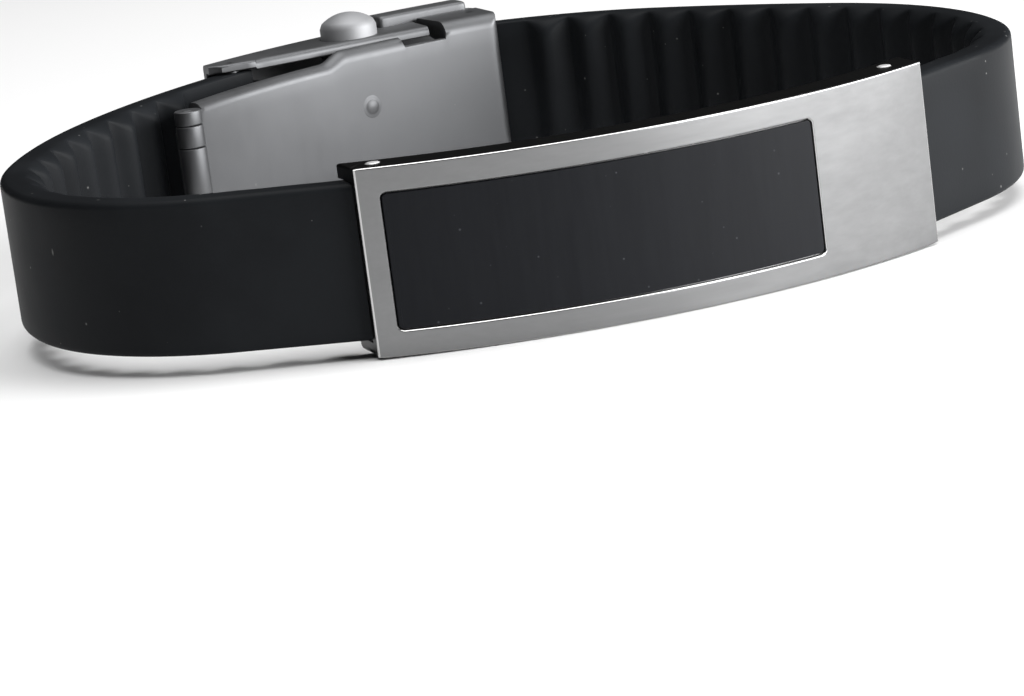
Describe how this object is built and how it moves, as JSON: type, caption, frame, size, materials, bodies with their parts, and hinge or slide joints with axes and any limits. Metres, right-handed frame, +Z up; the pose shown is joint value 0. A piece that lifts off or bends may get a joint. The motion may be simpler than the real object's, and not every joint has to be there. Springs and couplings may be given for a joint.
{
  "type": "rubber bracelet",
  "caption": "Black rubber bracelet with a curved steel plate with a black window in front, and a double push-button folding clasp of steel at the back.",
  "frame": {"origin": "middle of the bracelet's box, on the surface that it lies on", "axes": "+X along the plate, to the right seen from in front; +Y from the plate to the clasp; +Z up, along the wrist"},
  "size_m": [0.071, 0.0688, 0.0153],
  "materials": {
    "plate_steel": "fine brushed steel with dark polished edges",
    "window_black": "satin black",
    "strap_rubber": "matt black rubber with fine dust",
    "clasp_steel": "satin grey steel",
    "button_steel": "satin steel",
    "pin_steel": "polished steel"
  },
  "bodies": {
    "root": {"id_plate": "plate_steel", "window_inlay": "window_black", "strap_left": "strap_rubber", "strap_right": "strap_rubber", "plate_pin_left": "pin_steel", "plate_pin_right": "pin_steel", "clasp_base": "clasp_steel", "clasp_cover": "clasp_steel", "clasp_hinge_pin": "clasp_steel", "clasp_pin_left": "pin_steel", "clasp_pin_right": "pin_steel"},
    "button_top": {"push_button_top": "button_steel"},
    "button_bottom": {"push_button_bottom": "button_steel"}
  },
  "joints": [
    {"name": "press_top", "type": "slide", "parent": "root", "child": "button_top", "axis": [0, 0.0257, -0.9997], "range_m": [0, 0.0006], "stiffness_N_per_m": 1500, "springref_m": -0.0015},
    {"name": "press_bottom", "type": "slide", "parent": "root", "child": "button_bottom", "axis": [0, -0.0257, 0.9997], "range_m": [0, 0.0006], "stiffness_N_per_m": 1500, "springref_m": -0.0015}
  ]
}
